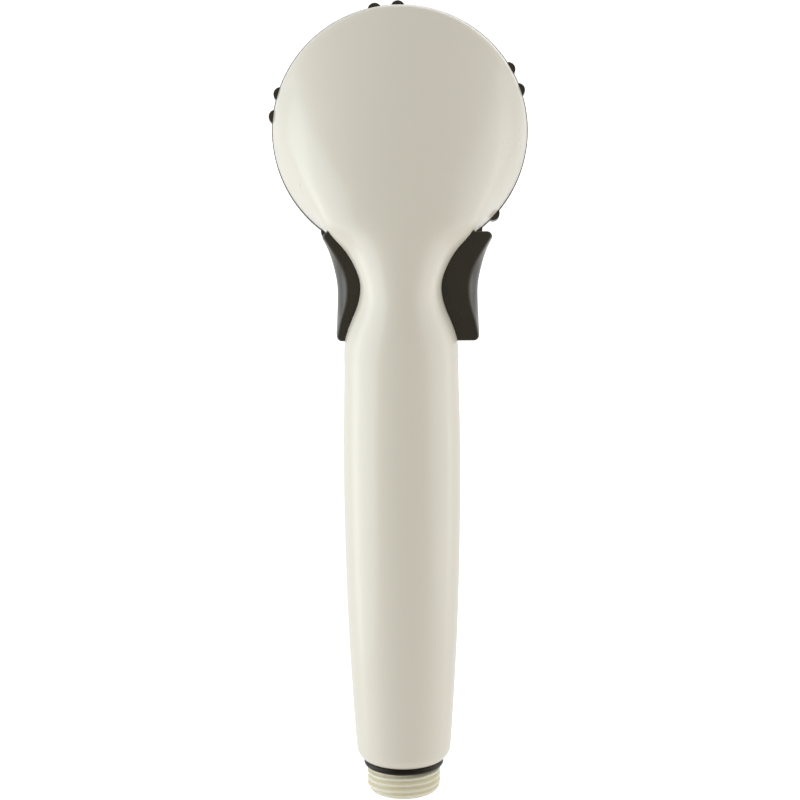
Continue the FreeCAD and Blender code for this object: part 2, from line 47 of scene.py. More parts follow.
# ---- dimensions of the visible mouldings, in millimetres, as in the CAD ----
# height and radius of the round handle
HANDLE_PROFILE = [(13.0, 13.4), (21, 14.0), (33, 14.7), (45, 15.35), (57, 15.82), (69, 16.15),
                  (82, 16.4), (95, 16.5), (106, 16.45), (117, 16.2), (126, 16.05)]
# height, half width, back and front of the neck
NECK_PROFILE = [(132.5, 15.75, -15.95, 16.0), (135.5, 14.95, -15.6, 15.8), (138.7, 13.75, -15.0, 15.4),
                (142.0, 12.4, -14.1, 14.8), (145.5, 11.5, -13.3, 14.1), (149.8, 11.5, -12.5, 13.5)]
NECK_WIDEST_Y = 0.75
FACE_TILT = math.radians(20.0)
RIM_CENTRE = np.array((0.0, 33.0, 186.9))
RIM_RADIUS = 36.3
FAN_RADIUS = 39.5
FAN_END = 110.0
# fan angle, half width, and distance of the back, of the widest line and of the front from the fan's pivot
FAN_PROFILE = [(12, 12.9, 31.7, 18.8, 5.9), (24, 15.4, 32.3, 19.7, 5.6), (36, 19.8, 33.3, 22.8, 5.3),
               (49, 23.0, 35.9, 24.2, 4.9), (62, 25.9, 40.1, 26.0, 4.5), (75, 29.0, 46.2, 28.2, 4.1),
               (86, 31.6, 53.7, 31.2, 3.7), (95, 33.8, 62.4, 34.6, 3.4), (100.5, 34.9, 69.4, 37.2, 3.25)]
# fan angle, and how far the rim band's back and side draw in towards the dome
RIM_BAND = ((104.5, 1.7, 0.75), (107.0, 0.85, 0.4), (FAN_END, 0.0, 0.0))
HANDLE_WALL = 2.6
# height, half width, back and front of the hollow that runs through the neck
NECK_HOLLOW = [(128.5, 12.6, -12.4, 12.4), (138.0, 10.6, -11.4, 11.6), (147.0, 8.6, -9.9, 10.5),
               (158.0, 10.0, -8.4, 9.5), (168.0, 13.0, -5.0, 9.0), (175.0, 13.0, -2.0, 11.5),
               (181.0, 11.0, 2.0, 14.0)]
# Y and Z of the square rooms' corners, and half of their widths
VALVE_ROOM = [(0.7, 131.0), (11.1, 131.0), (11.1, 154.5), (0.7, 154.5)]
VALVE_ROOM_HALF_WIDTH = 7.0
COVER_WINDOW = [(9.0, 136.5), (25.0, 136.5), (25.0, 148.5), (9.0, 148.5)]
COVER_WINDOW_HALF_WIDTH = 4.4
MOUTH_Z = 10.1
MOUTH_BORE_RADIUS = 11.0
MOUTH_BORE_TOP_Z = 24.2
# radius and height of the rounded lip round the handle's mouth, at its start, middle and end
MOUTH_LIP = ((11.4, MOUTH_Z), (12.62, 11.35), (13.39, HANDLE_PROFILE[0][0]))
# radius and height of the water chamber, in the head's own frame
CHAMBER_PROFILE = [(33.7, 1.0), (33.7, -6.9), (32.4, -6.9), (31.4, -8.2), (25.0, -12.0), (15.0, -17.0),
                   (6.0, -20.2)]
PORT_CENTRE = (0, 21.5, 0)
PORT_BOSS_RADIUS = 5.8
VALVE_CENTRE = np.array((0.0, 6.8, 148.1))
DUCT_TILT = math.radians(9.0)
DUCT_AXIS = np.array((0.0, math.sin(DUCT_TILT), math.cos(DUCT_TILT)))
DUCT_SOCKET_RADIUS = 4.9
DUCT_RADIUS = 4.0
BUTTON_BACK_Y = 1.0
BUTTON_FRONT_Y = 14.0
BUTTON_BOTTOM_Z = 132.3
BUTTON_TOP_Z = 163.7
BUTTON_INNER_X = 8.4
BUTTON_CORNER = 1.4
BUTTON_WALL = 1.8
BUTTON_REST_X = 1.9
BUTTON_EDGE_RADIUS = 0.6
BUTTON_RIM_GAP = 0.7
SPOOL_SOCKET_RADIUS = 3.9
POCKET_GAP = 0.3
POCKET_INNER_X = 6.2
POCKET_FRONT_Y = 40.0
POCKET_OUTER_X = 45.0
# height and half width of a button's thumb face, along its back edge and along its middle
BUTTON_EDGE = [(110, 19.8), (134.0, 19.8), (138.7, 18.8), (142.5, 17.65), (147.2, 17.05), (152.0, 17.8),
               (156.5, 19.95), (160.0, 22.1), (163.9, 24.4), (175, 25.0)]
BUTTON_MIDDLE = [(110, 20.1), (134.0, 20.1), (138.7, 19.85), (142.5, 19.7), (147.2, 19.75), (152.0, 20.6),
                 (156.5, 21.9), (160.0, 23.4), (163.9, 25.6), (175, 27.0)]
SPOOL_END_RADIUS = 2.5
SPOOL_HALF_LENGTH = 17.2
THREAD_RADIUS = 10.4775
THREAD_MINOR_RADIUS = 9.32
THREAD_PITCH = 1.814
THREAD_END_Z = 7.8
# shares of a pitch: where the helix starts, half of its root, and its flank
THREAD_START = 0.19
THREAD_HALF_ROOT = 0.08
THREAD_FLANK = 0.30
# heights and radii of the chamfer at the spigot's end
CHAMFER_HEIGHTS = (0, 0.45, 2.05)
CHAMFER_RADII = (8.4, 9.3, THREAD_RADIUS)
RUN_OUT_HEIGHT = 0.5
SPIGOT_NECK_RADIUS = 9.15
PARTING_HALF_WIDTH = 0.42
PARTING_DEPTH = 0.16
SPIGOT_FIT = 0.05
SEAL_HEIGHTS = (14.0, 19.0)
SEAL_GROOVE_RADIUS = 9.2
SEAL_GROOVE_HALF = 1.1
# radius and height of the water tube, up its outside and down its bore
TUBE_PROFILE = [(6.5, 27), (6.5, 117.2), (5.35, 117.2), (5.35, 118.8), (6.5, 118.8), (6.5, 121.0),
                (5.8, 122.0), (4.8, 122.0), (4.8, 13.5), (7.6, 11.0), (7.6, 0)]

# ---- fineness of the meshes ----
SECTION_POINTS = 32
ROUND_STEPS = 4
COLUMNS = SECTION_POINTS * ROUND_STEPS
BODY_ROW_STEP = 0.65
HOLLOW_ROW_STEP = 3.0
LIP_STEPS = 10
CAP_HEIGHTS = 49
CAP_ROWS = 25
CAP_EDGE_STEPS = 6
CAP_CORNER_STEPS = 8
SPIGOT_COLUMNS = 256
THREAD_ROWS = 110
HEAD_FRAME = Matrix.Translation(RIM_CENTRE) @ Matrix.Rotation(-math.radians(FAN_END), 4, "X")


# ---- mesh helpers, in millimetres ----
def loop_faces(rows, columns, capped=True):
    """The faces of rows of points that close round, with or without a cap at either end."""
    faces = []
    for row in range(rows - 1):
        for column in range(columns):
            beside = (column + 1) % columns
            faces.append((row * columns + column, row * columns + beside, (row + 1) * columns + beside,
                          (row + 1) * columns + column))
    if capped:
        faces.append(tuple(range(columns)))
        faces.append(tuple((rows - 1) * columns + column for column in range(columns)))
    return faces


def make_object(name, points, faces):
    """A mesh object from points in millimetres, with its faces turned outwards."""
    mesh = bpy.data.meshes.new(name)
    mesh.from_pydata([Vector(point) * MM for point in points], [], faces)
    shape = bmesh.new()
    shape.from_mesh(mesh)
    bmesh.ops.recalc_face_normals(shape, faces=shape.faces)
    shape.to_mesh(mesh)
    shape.free()
    piece = bpy.data.objects.new(name, mesh)
    bpy.context.scene.collection.objects.link(piece)
    return piece


def rows_object(name, rows):
    """A closed object from rows of points, each of which closes round."""
    rows = [np.asarray(row) for row in rows]
    return make_object(name, np.concatenate(rows), loop_faces(len(rows), len(rows[0])))


def circle(radius, height, count=COLUMNS):
    """A level circle of points that runs from +X towards -Y."""
    turns = np.arange(count) * 2 * math.pi / count
    return np.column_stack((radius * np.cos(turns), -radius * np.sin(turns), np.full(count, height)))


def arc(first, middle, last, steps):
    """Points on the circle through three points of a plane."""
    (ax, ay), (bx, by), (cx, cy) = first, middle, last
    double = 2 * (ax * (by - cy) + bx * (cy - ay) + cx * (ay - by))
    squares = [x * x + y * y for x, y in (first, middle, last)]
    centre_x = (squares[0] * (by - cy) + squares[1] * (cy - ay) + squares[2] * (ay - by)) / double
    centre_y = (squares[0] * (cx - bx) + squares[1] * (ax - cx) + squares[2] * (bx - ax)) / double
    radius = math.hypot(ax - centre_x, ay - centre_y)
    start = math.atan2(ay - centre_y, ax - centre_x)
    end = math.atan2(cy - centre_y, cx - centre_x)
    return [(centre_x + radius * math.cos(start + (end - start) * step / steps),
             centre_y + radius * math.sin(start + (end - start) * step / steps)) for step in range(steps + 1)]


def end_slope(parameters, values):
    """The slope at the first of four values, of the cubic through them."""
    slope = 0
    for index in range(4):
        others = [other for other in range(4) if other != index]
        below = math.prod(parameters[index] - parameters[other] for other in others)
        above = sum(math.prod(parameters[0] - parameters[other] for other in others if other != skipped)
                    for skipped in others)
        slope = slope + values[index] * (above / below)
    return slope


def spline_through(stations, values, wanted):
    """A cubic spline through values at stations, read at the wanted stations."""
    stations = np.asarray(stations, float)
    values = np.asarray(values, float)
    flat = values.reshape(len(values), -1)
    count = len(stations)
    steps = np.diff(stations)
    slopes = np.diff(flat, axis=0) / steps[:, None]
    system = np.zeros((count, count))
    right = np.zeros_like(flat)
    system[0, 0] = system[-1, -1] = 1
    right[0] = end_slope(stations[:4], flat[:4])
    right[-1] = end_slope(stations[:-5:-1], flat[:-5:-1])
    for row in range(1, count - 1):
        system[row, row - 1] = steps[row]
        system[row, row] = 2 * (steps[row - 1] + steps[row])
        system[row, row + 1] = steps[row - 1]
        right[row] = 3 * (steps[row] * slopes[row - 1] + steps[row - 1] * slopes[row])
    tangents = np.linalg.solve(system, right)
    wanted = np.atleast_1d(wanted)
    spans = np.clip(np.searchsorted(stations, wanted, side="right") - 1, 0, count - 2)
    width = steps[spans][:, None]
    share = ((wanted - stations[spans]) / steps[spans])[:, None]
    result = ((1 + 2 * share) * (1 - share) ** 2 * flat[spans]
              + share * (1 - share) ** 2 * width * tangents[spans]
              + share ** 2 * (3 - 2 * share) * flat[spans + 1]
              + share ** 2 * (share - 1) * width * tangents[spans + 1])
    return result.reshape((len(wanted),) + values.shape[1:])


def swept_rows(sections, step):
    """Rows of points on one smooth surface that runs through the sections."""
    sections = np.asarray(sections)
    middles = (sections[:, 0] + sections[:, SECTION_POINTS // 2]) / 2
    stations = np.concatenate(([0.0], np.cumsum(np.linalg.norm(np.diff(middles, axis=0), axis=1))))
    # A closed cubic through evenly turned poles runs inside them by this share.
    swell = 3 / (2 + math.cos(2 * math.pi / SECTION_POINTS))
    poles = middles[:, None] + (sections - middles[:, None]) * swell
    wanted = np.linspace(0, stations[-1], max(2, round(stations[-1] / step)))
    poles = spline_through(stations, poles, wanted)
    before, after, beyond = (np.roll(poles, shift, axis=1) for shift in (1, -1, -2))
    rows = np.empty((len(wanted), COLUMNS, 3))
    for index in range(ROUND_STEPS):
        u = index / ROUND_STEPS
        rows[:, index::ROUND_STEPS] = ((1 - u) ** 3 * before + (3 * u ** 3 - 6 * u ** 2 + 4) * poles
                                       + (-3 * u ** 3 + 3 * u ** 2 + 3 * u + 1) * after + u ** 3 * beyond) / 6
    return list(rows)


def revolved(name, profile, place=None):
    """A solid of revolution about Z from (radius, height) points, with a flat cap at either end."""
    piece = rows_object(name, [circle(radius, height) for radius, height in profile])
    if place is not None:
        piece.data.transform(Matrix.Scale(MM, 4) @ place @ Matrix.Scale(1 / MM, 4))
    return piece


def along(base, axis):
    """The placement that puts Z along an axis at a base point."""
    return Matrix.Translation(base) @ Vector(axis).to_track_quat("Z", "Y").to_matrix().to_4x4()


def rod(name, radius, start, end, place):
    """A cylinder between two heights of a placement."""
    return revolved(name, [(radius, start), (radius, end)], place)


def head_rod(radius):
    """A cylinder that runs right through the head, square to its face, for cutting."""
    return rod("head_rod", radius, -60, 20, HEAD_FRAME)


def prism(name, outline, low_x, high_x):
    """An outline in the YZ plane, drawn out along X, for cutting."""
    return rows_object(name, [[(x, y, z) for y, z in outline] for x in (low_x, high_x)])


def combine(piece, other, operation):
    """Cuts, joins or overlaps a piece with another one, which is used up."""
    modifier = piece.modifiers.new("shape", "BOOLEAN")
    modifier.operation = operation
    modifier.solver = "EXACT"
    modifier.object = other
    bpy.context.view_layer.update()
    result = bpy.data.meshes.new_from_object(piece.evaluated_get(bpy.context.evaluated_depsgraph_get()))
    piece.modifiers.clear()
    old = piece.data
    piece.data = result
    bpy.data.meshes.remove(old)
    bpy.data.objects.remove(other)


def smooth(piece, degrees=32.0):
    """Shades a mesh smooth, with sharp edges where it turns by more than an angle."""
    piece.data.shade_smooth()
    piece.data.set_sharp_from_angle(angle=math.radians(degrees))


# ---- the one-piece body ----
def section_turns():
    """The angles round a section, from its widest point towards its back."""
    return np.arange(SECTION_POINTS) * 2 * math.pi / SECTION_POINTS


def level_section(height, half_width, back, front, widest):
    """A level section made of two half ellipses."""
    turns = section_turns()
    reach = np.where(np.sin(turns) > 0, widest - back, front - widest)
    return np.column_stack((half_width * np.cos(turns), widest - reach * np.sin(turns),
                            np.full(SECTION_POINTS, float(height))))


def fan_section(fan_angle, half_width, outer, widest, inner):
    """A section in a plane turned about the fan's pivot, again of two half ellipses."""
    turns = section_turns()
    lean = math.radians(fan_angle)
    pivot = RIM_CENTRE - np.array((0, math.sin(FACE_TILT), math.cos(FACE_TILT))) * FAN_RADIUS
    outward = np.array((0, -math.cos(lean), math.sin(lean)))
    reach = np.where(np.sin(turns) > 0, outer - widest, widest - inner)
    distance = widest + reach * np.sin(turns)
    return pivot + outward * distance[:, None] + np.array((1, 0, 0)) * (half_width * np.cos(turns))[:, None]


def rim_section(fan_angle, back_draw, side_draw):
    """The head's rim band, cut by a plane through the fan's pivot. It ends in the round rim."""
    stretch = 1 / math.cos(math.radians(FAN_END - fan_angle))
    return fan_section(fan_angle, RIM_RADIUS - side_draw, (FAN_RADIUS + RIM_RADIUS) * stretch - back_draw,
                       FAN_RADIUS * stretch, (FAN_RADIUS - RIM_RADIUS) * stretch)


def body_cutters():
    """The hollows of the body, one by one."""
    wall = [(radius - HANDLE_WALL, height) for height, radius in HANDLE_PROFILE if height > 24]
    mouth = [(MOUTH_BORE_RADIUS, MOUTH_Z - 1), (MOUTH_BORE_RADIUS, MOUTH_BORE_TOP_Z),
             (wall[0][0] - 0.3, 25.4)]
    yield revolved("bore", mouth + wall + [(wall[-1][0], 129.5)])
    sections = [level_section(*row, (row[2] + row[3]) / 2) for row in NECK_HOLLOW]
    yield rows_object("neck", swept_rows(sections, HOLLOW_ROW_STEP))
    yield prism("valve_room", VALVE_ROOM, -VALVE_ROOM_HALF_WIDTH, VALVE_ROOM_HALF_WIDTH)
    duct_line = along(VALVE_CENTRE, DUCT_AXIS)
    yield rod("socket_room", DUCT_SOCKET_RADIUS, 0, 10.0, duct_line)
    yield rod("duct_room", DUCT_RADIUS, 9.0, 22.0, duct_line)
    yield revolved("chamber", CHAMBER_PROFILE, HEAD_FRAME)
    yield rod("boss_room", PORT_BOSS_RADIUS, -19.5, -8, HEAD_FRAME @ Matrix.Translation(PORT_CENTRE))
    for side in (-1, 1):
        yield button_pocket(side)
    yield prism("cover_window", COVER_WINDOW, -COVER_WINDOW_HALF_WIDTH, COVER_WINDOW_HALF_WIDTH)


def button_pocket(side):
    """The recess beside the neck that a stop button's cap moves in."""
    back = BUTTON_BACK_Y - POCKET_GAP
    bottom = BUTTON_BOTTOM_Z - POCKET_GAP
    slope = math.tan(FACE_TILT)
    top = BUTTON_TOP_Z + POCKET_GAP / math.cos(FACE_TILT)
    outline = [(back, bottom), (POCKET_FRONT_Y, bottom),
               (POCKET_FRONT_Y, top - (POCKET_FRONT_Y - BUTTON_BACK_Y) * slope),
               (back, top - (back - BUTTON_BACK_Y) * slope)]
    pocket = prism("pocket", outline, side * POCKET_INNER_X, side * POCKET_OUTER_X)
    combine(pocket, head_rod(RIM_RADIUS - BUTTON_RIM_GAP), "DIFFERENCE")
    return pocket


def make_body():
    """The handle, neck and head as one smooth moulding with its hollows."""
    lip = arc(*MOUTH_LIP, LIP_STEPS)
    rows = [circle(radius, height) for radius, height in lip[:-1]]
    sections = [level_section(height, radius, -radius, radius, 0) for height, radius in HANDLE_PROFILE]
    sections += [level_section(*row, NECK_WIDEST_Y) for row in NECK_PROFILE]
    sections += [fan_section(*row) for row in FAN_PROFILE]
    sections += [rim_section(*row) for row in RIM_BAND]
    body = rows_object("shell_moulding", rows + swept_rows(sections, BODY_ROW_STEP))
    for cutter in body_cutters():
        combine(body, cutter, "DIFFERENCE")
    smooth(body)
    return body


# ---- the stop button's caps ----
def thumb_reach(y, heights, shrink):
    """The half width of a cap at one y: most in its middle, least along its two edges."""
    half = (BUTTON_FRONT_Y - BUTTON_BACK_Y) / 2
    crown = 1 - ((y - BUTTON_BACK_Y - half) / half) ** 2
    edge = spline_through(*zip(*BUTTON_EDGE), heights)
    middle = spline_through(*zip(*BUTTON_MIDDLE), heights)
    return edge + (middle - edge) * crown - shrink


def cap_row(y, shrink, inner_x):
    """A cap's outline in a plane of one y, from its inner edge round the thumb face and back."""
    bottom = BUTTON_BOTTOM_Z + shrink
    top = BUTTON_TOP_Z - shrink - (y - BUTTON_BACK_Y) * math.tan(FACE_TILT)
    corner = BUTTON_CORNER - shrink * 0.5
    heights = np.linspace(bottom + corner, top - corner, CAP_HEIGHTS)
    reach = thumb_reach(y, heights, shrink)
    turns = np.linspace(0, math.pi / 2, CAP_CORNER_STEPS)
    lower = [(reach[0] - corner + corner * math.sin(turn), heights[0] - corner * math.cos(turn))
             for turn in turns[:-1]]
    upper = [(reach[-1] - corner + corner * math.cos(turn), heights[-1] + corner * math.sin(turn))
             for turn in turns[1:]]
    outline = [(inner_x, bottom)] + lower + list(zip(reach, heights)) + upper + [(inner_x, top)]
    return [(x, y, z) for x, z in outline]


def cap_form(name, shrink, inner_x, edge_radius):
    """A closed cap whose back and front edges are rounded."""
    back = BUTTON_BACK_Y + shrink
    front = BUTTON_FRONT_Y - shrink
    turns = [math.pi / 2 * step / CAP_EDGE_STEPS for step in range(CAP_EDGE_STEPS)]
    edge = [(edge_radius * (1 - math.cos(turn)), shrink + edge_radius * (1 - math.sin(turn)))
            for turn in turns]
    rows = [cap_row(back + depth, inset, inner_x) for depth, inset in edge]
    middle = np.linspace(back + edge_radius, front - edge_radius, CAP_ROWS)
    rows += [cap_row(y, shrink, inner_x) for y in middle]
    rows += [cap_row(front - depth, inset, inner_x) for depth, inset in reversed(edge)]
    return rows_object(name, rows)


def make_cap(side):
    """One hollow cap of the push-through button, with the socket for the spool's end."""
    spool_line = along(VALVE_CENTRE, (1, 0, 0))
    name = "button_cap_right" if side > 0 else "button_cap_left"
    cap = cap_form(name, 0, BUTTON_INNER_X, BUTTON_EDGE_RADIUS)
    combine(cap, cap_form("hollow", BUTTON_WALL, BUTTON_INNER_X - 2, 0.2), "DIFFERENCE")
    socket = rod("socket", SPOOL_SOCKET_RADIUS, 13.3, 24, spool_line)
    combine(socket, cap_form("inside", 0.4, BUTTON_INNER_X, 0.2), "INTERSECT")
    combine(cap, socket, "UNION")
    combine(cap, rod("hole", SPOOL_END_RADIUS, 12, SPOOL_HALF_LENGTH, spool_line), "DIFFERENCE")
    combine(cap, head_rod(RIM_RADIUS + BUTTON_RIM_GAP), "DIFFERENCE")
    cap.data.transform(Matrix.Translation((BUTTON_REST_X * MM, 0, 0)) @ Matrix.Scale(side, 4, (1, 0, 0)))
    if side < 0:
        cap.data.flip_normals()
    smooth(cap, 28.0)
    return cap


# ---- the threaded spigot ----
def thread_level(turns, height):
    """The thread's radius at a height: a helix with rounded crests, cut off by the end's chamfer."""
    phase = (height / THREAD_PITCH + turns / (2 * math.pi) + THREAD_START) % 1.0
    flank = np.clip((np.abs(phase - 0.5) - THREAD_HALF_ROOT) / THREAD_FLANK, 0, 1)
    rise = flank * flank * (3 - 2 * flank)
    level = THREAD_MINOR_RADIUS + (THREAD_RADIUS - THREAD_MINOR_RADIUS) * rise
    chamfer = float(np.interp(height, CHAMFER_HEIGHTS, CHAMFER_RADII))
    left = min(max((THREAD_END_Z - height) / RUN_OUT_HEIGHT, 0), 1)
    run_out = SPIGOT_NECK_RADIUS + (THREAD_RADIUS - SPIGOT_NECK_RADIUS) * left ** 0.5
    return np.minimum(np.minimum(level, chamfer), run_out)


def make_spigot():
    """The threaded spigot and water tube, with a flat on the thread along each parting line."""
    count = SPIGOT_COLUMNS
    turns = np.arange(count) * 2 * math.pi / count
    rows = []
    for height in np.linspace(0, THREAD_END_Z, THREAD_ROWS):
        radius = thread_level(turns, height)
        for parting in (math.pi / 2, 3 * math.pi / 2):
            away = np.abs(turns - parting) * THREAD_RADIUS
            flat = np.clip(1 - (away / PARTING_HALF_WIDTH) ** 4, 0, 1)
            radius = radius - PARTING_DEPTH * flat * (radius > THREAD_MINOR_RADIUS + 0.1)
        level = np.full(count, height)
        rows.append(np.column_stack((radius * np.cos(turns), -radius * np.sin(turns), level)))
    plug = MOUTH_BORE_RADIUS - SPIGOT_FIT
    profile = [(SPIGOT_NECK_RADIUS, MOUTH_Z), (plug, MOUTH_Z)]
    for height in SEAL_HEIGHTS:
        low = height - SEAL_GROOVE_HALF
        high = height + SEAL_GROOVE_HALF
        profile += [(plug, low), (SEAL_GROOVE_RADIUS, low), (SEAL_GROOVE_RADIUS, high), (plug, high)]
    profile += [(plug, 24)] + TUBE_PROFILE
    rows += [circle(radius, height, count) for radius, height in profile]
    faces = loop_faces(len(rows), count, capped=False)
    last = (len(rows) - 1) * count
    faces += [(last + column, last + (column + 1) % count, (column + 1) % count, column)
              for column in range(count)]
    spigot = make_object("threaded_spigot", np.concatenate(rows), faces)
    smooth(spigot, 40.0)
    return spigot


# ---- materials ----
def new_material(name):
    """A material, its node tree and its Principled shader."""
    material = bpy.data.materials.new(name)
    material.use_nodes = True
    tree = material.node_tree
    return material, tree, tree.nodes["Principled BSDF"]


def noise(tree, scale, detail=3.0, roughness=0.5, stretch=(1, 1, 1)):
    """A noise texture in the object's own metres."""
    place = tree.nodes.new("ShaderNodeTexCoord")
    mapping = tree.nodes.new("ShaderNodeMapping")
    mapping.inputs["Scale"].default_value = stretch
    texture = tree.nodes.new("ShaderNodeTexNoise")
    texture.inputs["Scale"].default_value = scale
    texture.inputs["Detail"].default_value = detail
    texture.inputs["Roughness"].default_value = roughness
    tree.links.new(place.outputs["Object"], mapping.inputs["Vector"])
    tree.links.new(mapping.outputs["Vector"], texture.inputs["Vector"])
    return texture.outputs["Fac"]


def ramp(tree, source, stops):
    """Turns a value into a colour or a level by two (position, colour or level) stops."""
    node = tree.nodes.new("ShaderNodeValToRGB")
    for element, (position, value) in zip(node.color_ramp.elements, stops):
        element.position = position
        colour = value if isinstance(value, tuple) else (value, value, value)
        element.color = (*colour, 1.0)
    tree.links.new(source, node.inputs["Fac"])
    return node.outputs["Color"]


def add_bump(tree, shader, heights):
    """Chains bumps of (height socket, depth in metres) into the shader's normal."""
    normal = None
    for height, depth in heights:
        bump = tree.nodes.new("ShaderNodeBump")
        bump.inputs["Strength"].default_value = 1.0
        bump.inputs["Distance"].default_value = depth
        tree.links.new(height, bump.inputs["Height"])
        if normal is not None:
            tree.links.new(normal, bump.inputs["Normal"])
        normal = bump.outputs["Normal"]
    tree.links.new(normal, shader.inputs["Normal"])


def gloss_plastic():
    """Polished cream moulding with a faint flow shade, a haze in its gloss and a very slight waviness."""
    material, tree, shader = new_material("cream_gloss_plastic")
    flow = noise(tree, 22.0, 2.0, 0.5, (1, 1, 0.35))
    tint = ramp(tree, flow, [(0.3, (0.742, 0.686, 0.566)), (0.7, (0.762, 0.708, 0.590))])
    tree.links.new(tint, shader.inputs["Base Color"])
    haze = noise(tree, 60.0, 6.0, 0.65, (1, 1, 0.4))
    tree.links.new(ramp(tree, haze, [(0.25, 0.27), (0.8, 0.31)]), shader.inputs["Roughness"])
    add_bump(tree, shader, [(noise(tree, 30.0, 0.0), 0.00002), (noise(tree, 2600.0, 2.0), 0.0000008)])
    shader.inputs["IOR"].default_value = 1.5
    shader.inputs["Subsurface Weight"].default_value = 0.10
    shader.inputs["Subsurface Radius"].default_value = (1.0, 0.85, 0.6)
    shader.inputs["Subsurface Scale"].default_value = 0.0012
    shader.inputs["Coat Weight"].default_value = 0.18
    shader.inputs["Coat Roughness"].default_value = 0.11
    return material


def satin_plastic(name, dark, light, rough_low, rough_high, grain=0.000012):
    """Satin moulding with a fine spark-eroded grain and a little scuffing."""
    material, tree, shader = new_material(name)
    patches = noise(tree, 70.0, 5.0, 0.6)
    tree.links.new(ramp(tree, patches, [(0.3, dark), (0.75, light)]), shader.inputs["Base Color"])
    scuffs = noise(tree, 420.0, 6.0, 0.7, (1, 1, 0.25))
    tree.links.new(ramp(tree, scuffs, [(0.35, rough_low), (0.72, rough_high)]), shader.inputs["Roughness"])
    add_bump(tree, shader, [(noise(tree, 3200.0, 2.0), grain), (noise(tree, 160.0, 2.0), grain)])
    shader.inputs["IOR"].default_value = 1.48
    return material


def natural_acetal():
    """Waxy natural resin, a little translucent, with faint flow streaks."""
    material, tree, shader = new_material("natural_acetal")
    streaks = noise(tree, 90.0, 4.0, 0.6, (1, 1, 3.0))
    tint = ramp(tree, streaks, [(0.3, (0.775, 0.725, 0.565)), (0.72, (0.815, 0.770, 0.620))])
    tree.links.new(tint, shader.inputs["Base Color"])
    dulling = ramp(tree, noise(tree, 300.0, 4.0), [(0.3, 0.34), (0.7, 0.46)])
    tree.links.new(dulling, shader.inputs["Roughness"])
    add_bump(tree, shader, [(noise(tree, 900.0, 3.0), 0.00001)])
    shader.inputs["Subsurface Weight"].default_value = 0.35
    shader.inputs["Subsurface Radius"].default_value = (1.0, 0.8, 0.5)
    shader.inputs["Subsurface Scale"].default_value = 0.002
    return material


def rubber(name, dark, light, roughness):
    """Moulded rubber with a faint bloom."""
    material, tree, shader = new_material(name)
    bloom = noise(tree, 350.0, 5.0, 0.7)
    tree.links.new(ramp(tree, bloom, [(0.35, dark), (0.75, light)]), shader.inputs["Base Color"])
    tree.links.new(ramp(tree, bloom, [(0.3, roughness), (0.8, roughness + 0.14)]), shader.inputs["Roughness"])
    add_bump(tree, shader, [(noise(tree, 2400.0, 3.0), 0.000012)])
    shader.inputs["Specular IOR Level"].default_value = 0.22
    shader.inputs["Specular Tint"].default_value = (1.0, 0.86, 0.72, 1.0)
    return material


def turned_steel():
    """Stainless steel with fine turning lines."""
    material, tree, shader = new_material("turned_steel")
    lines = noise(tree, 900.0, 3.0, 0.6, (6, 6, 1))
    tree.links.new(ramp(tree, lines, [(0.3, (0.52, 0.52, 0.51)), (0.7, (0.66, 0.66, 0.65))]),
                   shader.inputs["Base Color"])
    tree.links.new(ramp(tree, lines, [(0.3, 0.22), (0.7, 0.38)]), shader.inputs["Roughness"])
    add_bump(tree, shader, [(lines, 0.000008)])
    shader.inputs["Metallic"].default_value = 1.0
    return material


def floor_paint():
    """Pale matt studio floor."""
    material, tree, shader = new_material("studio_floor")
    tone = noise(tree, 3.0, 4.0)
    tree.links.new(ramp(tree, tone, [(0.3, 0.84), (0.7, 0.86)]), shader.inputs["Base Color"])
    tree.links.new(ramp(tree, noise(tree, 60.0, 4.0), [(0.3, 0.75), (0.7, 0.9)]), shader.inputs["Roughness"])
    shader.inputs["Emission Color"].default_value = (1.0, 1.0, 1.0, 1.0)
    shader.inputs["Emission Strength"].default_value = 0.68
    return material


finishes = {
    "cream_body": gloss_plastic(),
    "dark_grey_plastic": satin_plastic("dark_grey_plastic", (0.033, 0.0265, 0.0150), (0.041, 0.0335, 0.0195),
                                       0.24, 0.33, 0.000004),
    "grey_plastic": satin_plastic("grey_plastic", (0.40, 0.40, 0.385), (0.46, 0.455, 0.44), 0.32, 0.46),
    "natural_acetal": natural_acetal(),
    "black_rubber": rubber("black_rubber", (0.009, 0.007, 0.005), (0.014, 0.011, 0.008), 0.26),
    "nozzle_rubber": rubber("nozzle_rubber", (0.10, 0.10, 0.098), (0.14, 0.14, 0.136), 0.50),
    "stainless_steel": turned_steel(),
}
node_slots = {entry["node"]: entry["material_slot"] for entry in frame["record"]["subparts"]}


def dress(piece, finish):
    """Gives a mesh one finish."""
    piece.data.materials.clear()
    piece.data.materials.append(finish)


def place_piece(piece, body, node, slot):
    """Makes a piece ride on a body in place of a CAD node, with the slot's finish."""
    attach(piece, body)
    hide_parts(node)
    dress(piece, finishes[slot])


for name, node in nodes.items():
    dress(node, finishes[node_slots[name]])

place_piece(make_body(), "root", "body_shell", "cream_body")
place_piece(make_cap(1), "stop_button", "stop_button_right", "dark_grey_plastic")
place_piece(make_cap(-1), "stop_button", "stop_button_left", "dark_grey_plastic")
place_piece(make_spigot(), "root", "inlet_tube", "natural_acetal")


# ---- camera, a metre behind the object and looking a little down on it ----
CAMERA_TARGET = Vector((0.0, 0.0, 0.11566))
CAMERA_DISTANCE = 1.0
CAMERA_ELEVATION = math.radians(13.8)
CAMERA_ROLL = math.radians(-0.36)

